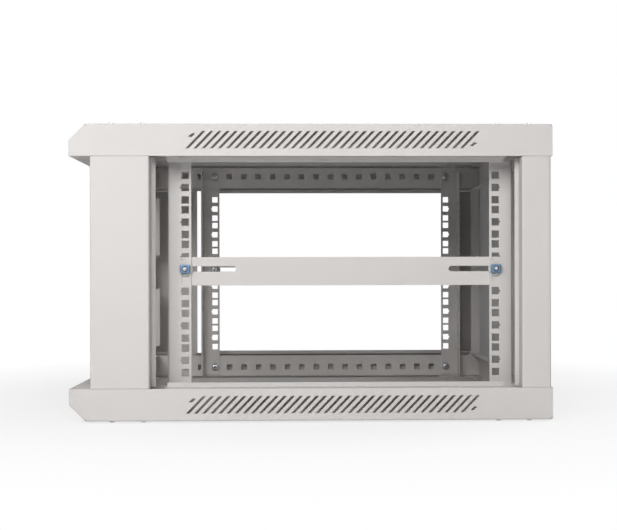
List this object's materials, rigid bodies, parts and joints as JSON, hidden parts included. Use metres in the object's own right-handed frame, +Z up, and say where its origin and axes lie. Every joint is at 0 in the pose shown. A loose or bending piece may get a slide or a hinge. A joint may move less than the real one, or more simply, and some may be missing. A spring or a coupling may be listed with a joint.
{
  "type": "wall mount rack cabinet",
  "caption": "Low folded-steel 19 inch wall cabinet frame with slanted vents, depth rails, punched rack rails and side braces, shown open, with no door or side panels.",
  "frame": {"origin": "middle of the cabinet's width and depth, on the surface that the heads of the bottom cover's screws stand on", "axes": "+Z up; +Y towards the wall behind the rear, so the front faces -Y; +X is the cabinet's right side as seen from the front"},
  "size_m": [0.6, 0.6, 0.3732],
  "materials": {
    "paint": "fine textured powder coat, light grey",
    "panel_paint": "fine textured powder coat, light grey",
    "zinc": "bright zinc plate",
    "blue_zinc": "blue coating on spring steel, satin",
    "clear_nylon": "natural nylon"
  },
  "bodies": {
    "root": {"top_cover": "paint", "bottom_cover": "paint", "front_post_left": "paint", "front_post_right": "paint", "rear_post_left": "paint", "rear_post_right": "paint", "front_top_rail": "paint", "front_bottom_rail": "paint", "rear_top_rail": "paint", "rear_bottom_rail": "paint", "depth_rail_top_left": "paint", "depth_rail_top_right": "paint", "depth_rail_bottom_left": "paint", "depth_rail_bottom_right": "paint", "rack_rail_front_left": "paint", "rack_rail_front_right": "paint", "rack_rail_rear_left": "paint", "rack_rail_rear_right": "paint", "side_brace_left": "paint", "side_brace_right": "paint", "top_entry_cover": "paint", "bottom_entry_cover": "paint", "rear_panel": "panel_paint", "rack_rail_screws": "zinc", "brace_screws": "zinc", "top_cover_screws": "zinc", "bottom_cover_screws": "zinc", "brace_nut_cages": "blue_zinc", "brace_nuts": "blue_zinc", "rail_nut_cages": "blue_zinc", "rail_nuts": "blue_zinc", "brace_washers": "clear_nylon"}
  },
  "joints": []
}
